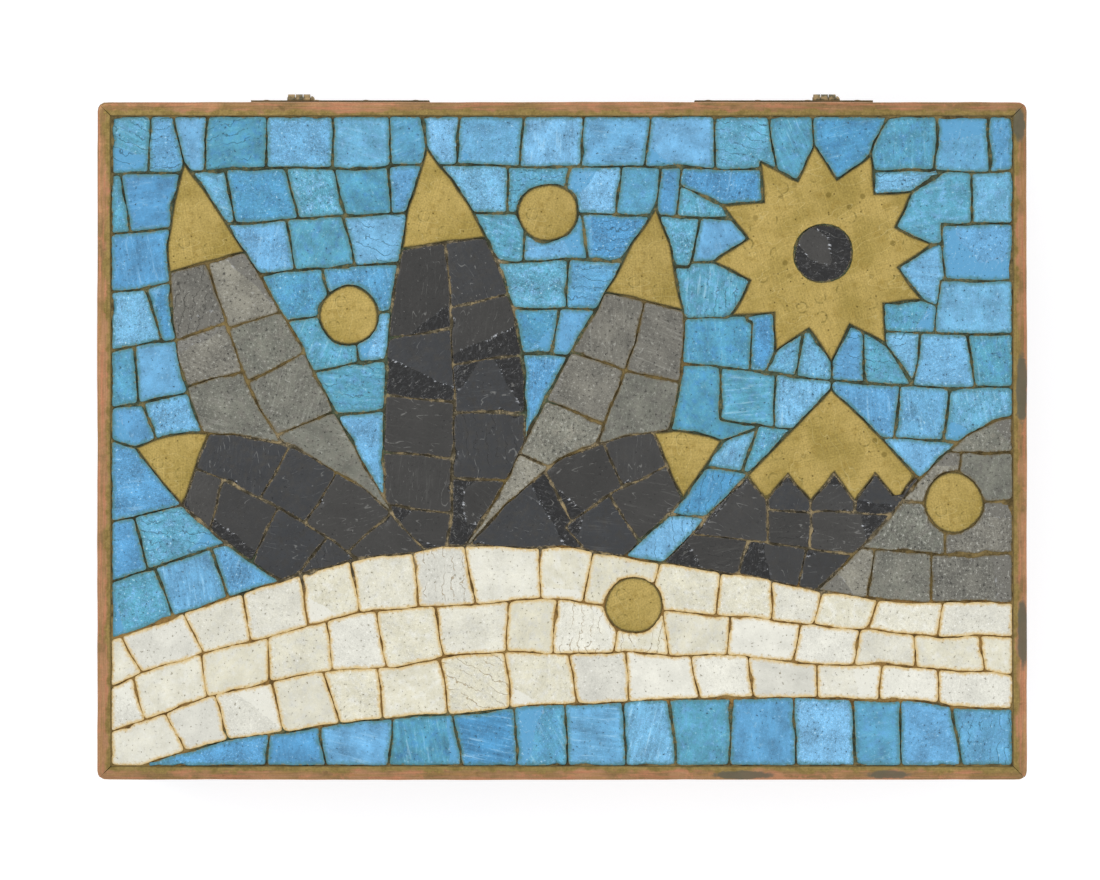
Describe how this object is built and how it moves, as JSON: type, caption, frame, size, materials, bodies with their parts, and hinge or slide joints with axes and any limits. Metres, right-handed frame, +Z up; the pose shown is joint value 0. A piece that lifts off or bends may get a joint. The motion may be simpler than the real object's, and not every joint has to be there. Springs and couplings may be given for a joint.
{
  "type": "mosaic box",
  "caption": "Hinged rectangular box in copper sheet with a cedar lining and a lid of glass tesserae and brass plates in mortar.",
  "frame": {"origin": "centre of the box's flat underside", "axes": "+Z up, +X to the right along the width, -Y to the front, +Y to the hinges"},
  "size_m": [0.203, 0.1506, 0.0504],
  "materials": {
    "copper": "dull copper with brown and grey-green tarnish",
    "brass": "satin, scratched and lightly stained",
    "hinge_metal": "dark brown patina",
    "cedar": "planed, unvarnished",
    "pine": "planed, unvarnished",
    "mortar": "rough, brown",
    "turquoise_glass": "opaque, hand cut, uneven gloss",
    "white_glass": "opaque, hand cut, uneven gloss",
    "grey_glass": "opaque, hand cut, uneven gloss",
    "black_glass": "opaque, hand cut, glossy"
  },
  "bodies": {
    "case": {"case_front_sheet": "copper", "lining_front": "cedar", "case_right_sheet": "copper", "lining_right": "cedar", "case_back_sheet": "copper", "lining_back": "cedar", "case_left_sheet": "copper", "lining_left": "cedar", "floor_board": "cedar", "hinge_left_case_leaf": "hinge_metal", "hinge_left_pin": "hinge_metal", "hinge_right_case_leaf": "hinge_metal", "hinge_right_pin": "hinge_metal"},
    "lid": {"rim_front": "copper", "rim_right": "copper", "rim_back": "copper", "rim_left": "copper", "lid_board": "pine", "mortar_bed": "mortar", "hinge_left_lid_leaf": "hinge_metal", "hinge_right_lid_leaf": "hinge_metal", "sun_centre": "black_glass", "leaf_low_tesserae": "black_glass", "leaf_fallen_tesserae": "black_glass", "leaf_left_tesserae": "grey_glass", "leaf_right_tesserae": "grey_glass", "leaf_tall_tesserae": "black_glass", "sun_plate": "brass", "disc_hill": "brass", "disc_shore": "brass", "disc_sky_left": "brass", "disc_sky_right": "brass", "mountain_cap": "brass", "leaf_low_tip": "brass", "leaf_fallen_tip": "brass", "leaf_left_tip": "brass", "leaf_right_tip": "brass", "leaf_tall_tip": "brass", "shore_tesserae": "white_glass", "lake_tesserae": "turquoise_glass", "hill_tesserae": "grey_glass", "mountain_tesserae": "black_glass", "sky_tesserae": "turquoise_glass"}
  },
  "joints": [
    {"name": "lid_hinge", "type": "hinge", "parent": "case", "child": "lid", "pos_m": [0, 0.07535, 0.0382], "axis": [-1, 0, 0], "range_deg": [0, 100]}
  ]
}
